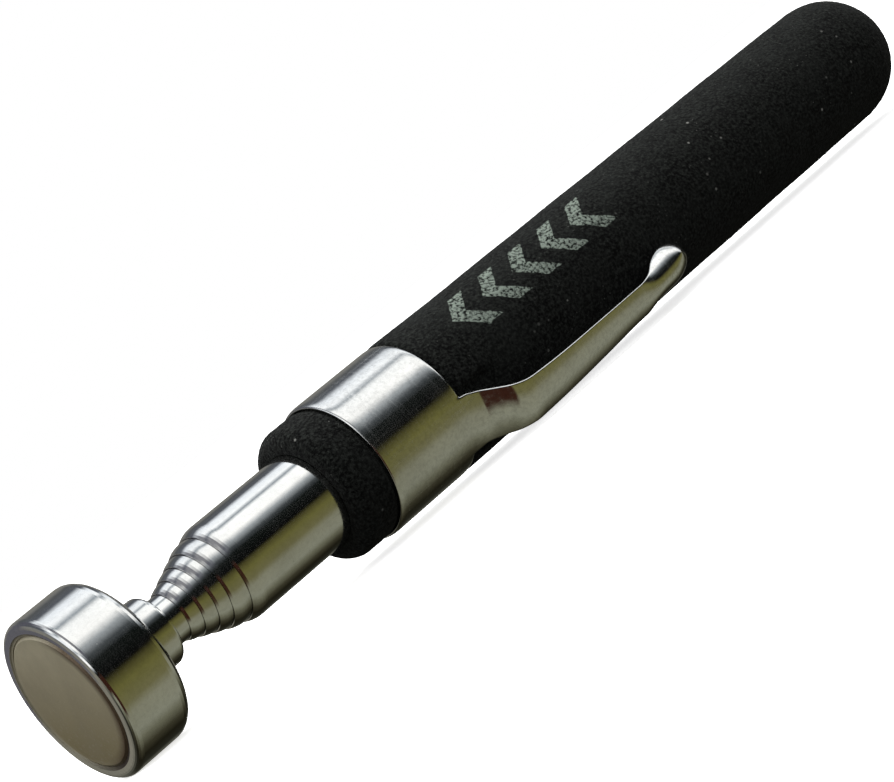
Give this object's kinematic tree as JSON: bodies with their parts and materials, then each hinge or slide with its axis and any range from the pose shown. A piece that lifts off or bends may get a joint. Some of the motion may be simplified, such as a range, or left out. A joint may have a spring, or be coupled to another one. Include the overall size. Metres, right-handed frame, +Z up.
{
  "type": "magnetic pickup tool",
  "caption": "Pocket telescopic magnetic pickup tool with a round magnet head, nested chrome mast, foam grip and spring pocket clip.",
  "frame": {"origin": "centre of the magnet's face, on the mast's axis", "axes": "+X along the mast from the magnet's face to the grip's closed end, +Z up as the closed tool rests on a bench with the clip towards -Y"},
  "size_m": [0.13, 0.019, 0.0174],
  "materials": {
    "chrome_plate": "polished plate with fine handling scratches",
    "magnet_face": "satin nickel plate",
    "potting_resin": "matte",
    "plain_steel": "plain",
    "bronze": "plain, lightly greased",
    "black_plastic": "matte",
    "foam": "matte fine-grained foam"
  },
  "bodies": {
    "grip": {"mast_section_1": "chrome_plate", "rear_plug": "black_plastic", "grip_sleeve": "foam", "clip_band": "chrome_plate"},
    "clip": {"clip_arm": "chrome_plate"},
    "section_2": {"mast_section_2": "chrome_plate", "friction_bush_2": "bronze"},
    "section_3": {"mast_section_3": "chrome_plate", "friction_bush_3": "bronze"},
    "section_4": {"mast_section_4": "chrome_plate", "friction_bush_4": "bronze"},
    "section_5": {"mast_section_5": "chrome_plate", "friction_bush_5": "bronze"},
    "head": {"mast_section_6": "chrome_plate", "friction_bush_6": "bronze", "magnet_cup": "chrome_plate", "magnet_disc": "magnet_face", "potting_ring": "potting_resin", "head_rivet": "plain_steel", "tip_plug": "plain_steel"}
  },
  "joints": [
    {"name": "slide_2", "type": "slide", "parent": "grip", "child": "section_2", "axis": [-1, 0, 0], "range_m": [0, 0.0958]},
    {"name": "slide_3", "type": "slide", "parent": "section_2", "child": "section_3", "axis": [-1, 0, 0], "range_m": [0, 0.0973]},
    {"name": "slide_4", "type": "slide", "parent": "section_3", "child": "section_4", "axis": [-1, 0, 0], "range_m": [0, 0.0983]},
    {"name": "slide_5", "type": "slide", "parent": "section_4", "child": "section_5", "axis": [-1, 0, 0], "range_m": [0, 0.0992]},
    {"name": "slide_6", "type": "slide", "parent": "section_5", "child": "head", "axis": [-1, 0, 0], "range_m": [0, 0.1002]},
    {"name": "clip_flex", "type": "hinge", "parent": "grip", "child": "clip", "pos_m": [0.0484, -0.00643, -0.0045], "axis": [0, 0.5736, -0.8192], "range_deg": [0, 5], "stiffness_Nm_per_rad": 2}
  ]
}
